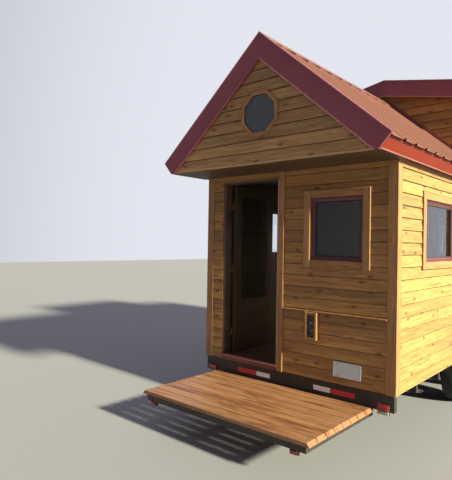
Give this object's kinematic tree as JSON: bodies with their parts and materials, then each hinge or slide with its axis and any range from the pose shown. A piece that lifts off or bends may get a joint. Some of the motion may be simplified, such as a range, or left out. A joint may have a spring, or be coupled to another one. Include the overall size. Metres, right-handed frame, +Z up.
{
  "type": "tiny house on wheels",
  "caption": "Small timber house with a gabled metal roof and a raised dormer, on a tandem-axle trailer with an entrance deck.",
  "frame": {"origin": "on the ground, on the centre line, at the middle of the overall length from the deck's outer edge to the coupler's tip", "axes": "+Z up, +Y along the house from the entrance to the tow tongue, +X to the right seen from the entrance"},
  "size_m": [2.8112, 8.467, 4.3993],
  "materials": {
    "black_steel": "satin",
    "galvanised": "dull",
    "rubber": "matt",
    "rim_paint": "satin",
    "lamp_red": "gloss",
    "deck_wood": "oiled",
    "siding_wood": "oiled",
    "trim_wood": "oiled",
    "inner_wood": "clear",
    "roof_metal": "satin",
    "fascia_metal": "satin",
    "window_metal": "satin",
    "pane": "clear",
    "pattern_pane": "patterned",
    "dark_metal": "satin",
    "brass": "brushed"
  },
  "bodies": {
    "root": {"chassis_rails": "black_steel", "crossmembers": "black_steel", "rear_beam": "black_steel", "tongue_bars": "black_steel", "coupler": "black_steel", "tongue_jack": "galvanised", "axles": "black_steel", "springs": "black_steel", "spring_hangers": "black_steel", "tyres": "rubber", "rims": "rim_paint", "fenders": "black_steel", "tail_lamps": "lamp_red", "deck_bearers": "black_steel", "deck_front_bar": "black_steel", "deck_boards": "deck_wood", "deck_lamps": "lamp_red", "floor": "inner_wood", "front_wall_left": "siding_wood", "front_wall_header": "siding_wood", "front_wall_right": "siding_wood", "left_wall": "siding_wood", "right_wall": "siding_wood", "rear_wall": "siding_wood", "front_gable": "siding_wood", "gable_trim": "trim_wood", "overhang_sides": "siding_wood", "loft_floor": "inner_wood", "roof_left": "inner_wood", "roof_right": "inner_wood", "roof_sheets": "roof_metal", "dormer_sheets": "roof_metal", "dormer_roof": "inner_wood", "dormer_cheeks": "siding_wood", "dormer_walls": "siding_wood", "rake_boards": "fascia_metal", "eave_fascias": "fascia_metal", "dormer_fascias": "fascia_metal", "dormer_eaves": "fascia_metal", "ridge_caps": "roof_metal", "corner_boards": "trim_wood", "frieze_boards": "trim_wood", "door_casing": "trim_wood", "belt_ledge": "trim_wood", "inlet_box": "trim_wood", "inlet_cover": "dark_metal", "window_casings": "trim_wood", "window_frames": "window_metal", "window_glass": "pane", "octagon_glass": "pattern_pane", "door_frame": "trim_wood", "threshold": "trim_wood", "jamb_hinges": "brass"},
    "door": {"door_leaf": "trim_wood", "door_glass": "pane", "door_hinges": "brass", "door_handle": "dark_metal"}
  },
  "joints": [
    {"name": "door_hinge", "type": "hinge", "parent": "root", "child": "door", "pos_m": [-0.94, -2.9045, 1.63], "axis": [0, 0, 1], "range_deg": [-90, 5]}
  ]
}
